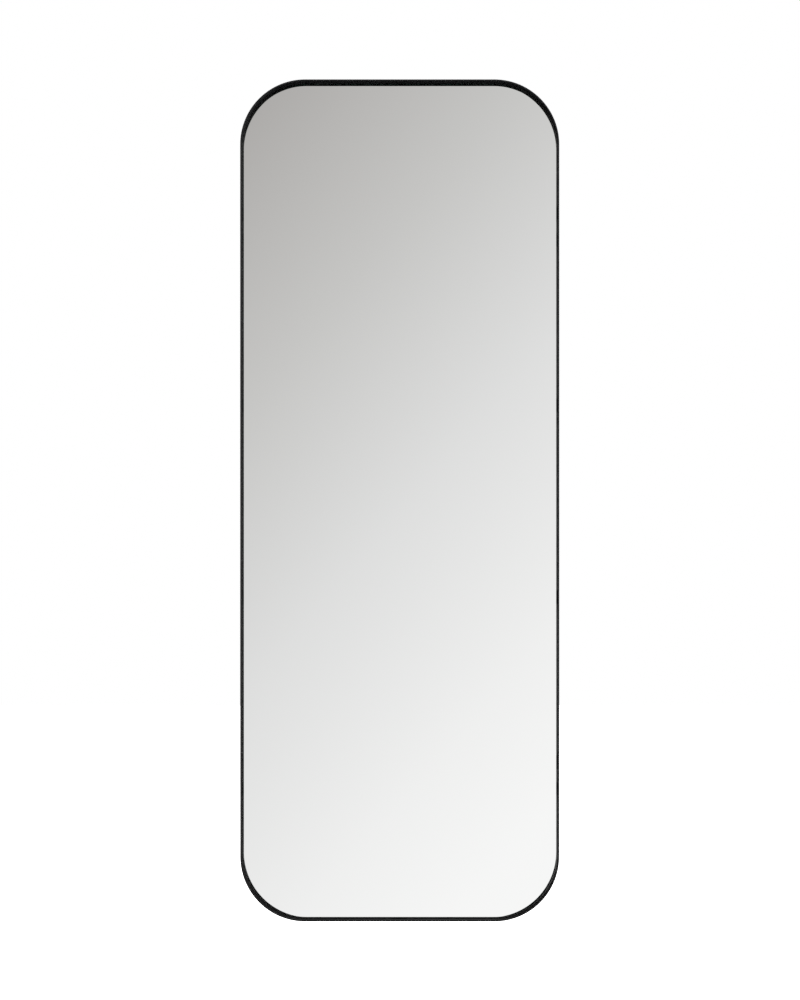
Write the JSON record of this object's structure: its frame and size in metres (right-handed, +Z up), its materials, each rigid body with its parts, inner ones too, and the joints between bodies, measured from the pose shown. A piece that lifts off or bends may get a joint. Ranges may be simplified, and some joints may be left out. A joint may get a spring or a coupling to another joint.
{
  "type": "wall mirror",
  "caption": "Tall wall mirror with round corners: glass set back in a thin black steel hoop, on a board with D-ring hangers for upright or lying use.",
  "frame": {"origin": "middle of the bottom of the mirror's box: half way across, half way from rim to wall, at the lowest point of the hoop", "axes": "+Z up as it hangs upright, +X to the viewer's right, +Y towards the wall"},
  "size_m": [0.61, 0.039, 1.61],
  "materials": {
    "frame_black": "satin black powder coat on steel bar",
    "mirror": "silvered clear float glass with polished edges",
    "board": "raw fibreboard with its face and edges sealed dark",
    "foam_tape": "closed-cell foam tape",
    "adhesive": "cured mirror adhesive",
    "rubber": "matte black rubber",
    "zinc_steel": "zinc plated"
  },
  "bodies": {
    "root": {"frame_band": "frame_black", "mirror_glass": "mirror", "backing_board": "board", "lug_screws": "zinc_steel", "tape_strip_1": "foam_tape", "adhesive_bead_1": "adhesive", "tape_strip_2": "foam_tape", "adhesive_bead_2": "adhesive", "tape_strip_3": "foam_tape", "adhesive_bead_3": "adhesive", "tape_strip_4": "foam_tape", "setting_block_left": "rubber", "setting_block_right": "rubber", "edge_spacer_top_left": "rubber", "edge_spacer_top_right": "rubber", "edge_spacer_left_lower": "rubber", "edge_spacer_left_upper": "rubber", "edge_spacer_right_lower": "rubber", "edge_spacer_right_upper": "rubber", "lug_bottom": "frame_black", "lug_top": "frame_black", "lug_left_1": "frame_black", "lug_right_1": "frame_black", "lug_left_2": "frame_black", "lug_right_2": "frame_black", "lug_left_3": "frame_black", "lug_right_3": "frame_black", "lug_left_4": "frame_black", "lug_right_4": "frame_black", "hanger_strap_portrait_left": "zinc_steel", "hanger_screws_portrait_left": "zinc_steel", "hanger_strap_portrait_right": "zinc_steel", "hanger_screws_portrait_right": "zinc_steel", "hanger_strap_landscape_lower": "zinc_steel", "hanger_screws_landscape_lower": "zinc_steel", "hanger_strap_landscape_upper": "zinc_steel", "hanger_screws_landscape_upper": "zinc_steel", "wall_bumper_lower_left": "rubber", "wall_bumper_lower_right": "rubber", "wall_bumper_upper_left": "rubber", "wall_bumper_upper_right": "rubber"},
    "ring_portrait_left": {"hanger_ring_portrait_left": "zinc_steel"},
    "ring_portrait_right": {"hanger_ring_portrait_right": "zinc_steel"},
    "ring_landscape_lower": {"hanger_ring_landscape_lower": "zinc_steel"},
    "ring_landscape_upper": {"hanger_ring_landscape_upper": "zinc_steel"}
  },
  "joints": [
    {"name": "ring_turn_portrait_left", "type": "hinge", "parent": "root", "child": "ring_portrait_left", "pos_m": [-0.19, 0.0122, 1.33], "axis": [1, 0, 0], "range_deg": [0, 180]},
    {"name": "ring_turn_portrait_right", "type": "hinge", "parent": "root", "child": "ring_portrait_right", "pos_m": [0.19, 0.0122, 1.33], "axis": [1, 0, 0], "range_deg": [0, 180]},
    {"name": "ring_turn_landscape_lower", "type": "hinge", "parent": "root", "child": "ring_landscape_lower", "pos_m": [0.262, 0.0122, 0.475], "axis": [0, 0, -1], "range_deg": [0, 180]},
    {"name": "ring_turn_landscape_upper", "type": "hinge", "parent": "root", "child": "ring_landscape_upper", "pos_m": [0.262, 0.0122, 1.135], "axis": [0, 0, -1], "range_deg": [0, 180]}
  ]
}
